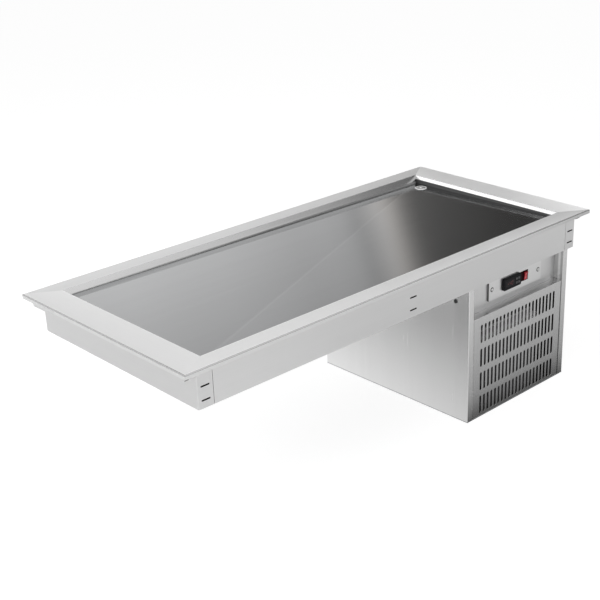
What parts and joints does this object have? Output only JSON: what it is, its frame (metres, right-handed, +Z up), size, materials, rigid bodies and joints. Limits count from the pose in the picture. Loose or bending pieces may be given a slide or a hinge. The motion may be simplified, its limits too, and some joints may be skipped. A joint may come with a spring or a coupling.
{
  "type": "drop-in cold plate",
  "caption": "Long rimmed stainless cold plate that drops into a counter, with a shallow insulated tank, corner drain and a condensing unit with grille, thermostat and switch under one end.",
  "frame": {"origin": "centre of the plane in which the hem of the rim rests on the worktop", "axes": "+X along the long sides towards the condensing unit, +Y to the back, +Z up"},
  "size_m": [1.47, 0.665, 0.508],
  "materials": {
    "rim_steel": "fine brushed along each strip",
    "plate_steel": "fine brushed, semi-mirror",
    "tank_steel": "satin brushed",
    "housing_steel": "satin brushed",
    "galvanised": "galvanised, dull",
    "drain_steel": "polished",
    "fasteners": "bright zinc",
    "dark_plastic": "fine moulded",
    "grey_plastic": "moulded",
    "display": "smoked window",
    "keys": "soft keys",
    "red_plastic": "glossy",
    "foam": "rigid poured foam",
    "copper": "drawn copper",
    "fins": "thin fins",
    "black_paint": "satin black",
    "rubber": "moulded rubber"
  },
  "bodies": {
    "cabinet": {"rim_front": "rim_steel", "rim_rear": "rim_steel", "rim_left": "rim_steel", "rim_right": "rim_steel", "rim_stiffener_left": "galvanised", "rim_stiffener_right": "galvanised", "cold_plate": "plate_steel", "drain_flange": "drain_steel", "drain_strainer": "drain_steel", "drain_screw": "fasteners", "drain_locknut": "drain_steel", "drain_elbow": "grey_plastic", "evaporator_coil": "copper", "foam_insulation": "foam", "tank_left_end": "tank_steel", "tank_right_end": "tank_steel", "tank_front_panel": "tank_steel", "tank_rear_panel": "tank_steel", "tank_bottom": "galvanised", "housing_base": "galvanised", "housing_left_panel": "housing_steel", "housing_right_panel": "housing_steel", "housing_rear_panel": "housing_steel", "side_panel_screws": "fasteners", "grille_panel": "housing_steel", "recess_panel": "housing_steel", "control_plate": "housing_steel", "control_plate_screws": "fasteners", "thermostat_case": "dark_plastic", "thermostat_lens": "display", "switch_frame": "dark_plastic", "condenser_core": "fins", "condenser_bends": "copper", "fan_shroud": "galvanised", "fan_motor": "black_paint", "fan_bracket": "galvanised", "compressor": "black_paint", "compressor_grommets": "rubber", "compressor_bolts": "fasteners", "compressor_terminal_cover": "dark_plastic", "filter_drier": "copper", "suction_line": "copper", "discharge_line": "copper", "liquid_line": "copper", "capillary_tube": "copper", "electrical_box": "grey_plastic", "terminal_block": "grey_plastic", "cable_gland": "dark_plastic", "cable_gland_nut": "dark_plastic"},
    "fan_rotor": {"fan_rotor": "dark_plastic"},
    "switch_rocker": {"switch_rocker": "red_plastic"},
    "thermostat_button_1": {"thermostat_button_1": "keys"},
    "thermostat_button_2": {"thermostat_button_2": "keys"},
    "thermostat_button_3": {"thermostat_button_3": "keys"},
    "thermostat_button_4": {"thermostat_button_4": "keys"}
  },
  "joints": [
    {"name": "fan_spin", "type": "hinge", "parent": "cabinet", "child": "fan_rotor", "pos_m": [0.443, -0.2115, -0.3635], "axis": [0, 1, 0], "continuous": true},
    {"name": "switch_rock", "type": "hinge", "parent": "cabinet", "child": "switch_rocker", "pos_m": [0.4985, -0.285, -0.136], "axis": [1, 0, 0], "range_deg": [-18, 0]},
    {"name": "button_1_press", "type": "slide", "parent": "cabinet", "child": "thermostat_button_1", "axis": [0, 1, 0], "range_m": [0, 0.0008], "stiffness_N_per_m": 500},
    {"name": "button_2_press", "type": "slide", "parent": "cabinet", "child": "thermostat_button_2", "axis": [0, 1, 0], "range_m": [0, 0.0008], "stiffness_N_per_m": 500},
    {"name": "button_3_press", "type": "slide", "parent": "cabinet", "child": "thermostat_button_3", "axis": [0, 1, 0], "range_m": [0, 0.0008], "stiffness_N_per_m": 500},
    {"name": "button_4_press", "type": "slide", "parent": "cabinet", "child": "thermostat_button_4", "axis": [0, 1, 0], "range_m": [0, 0.0008], "stiffness_N_per_m": 500}
  ]
}
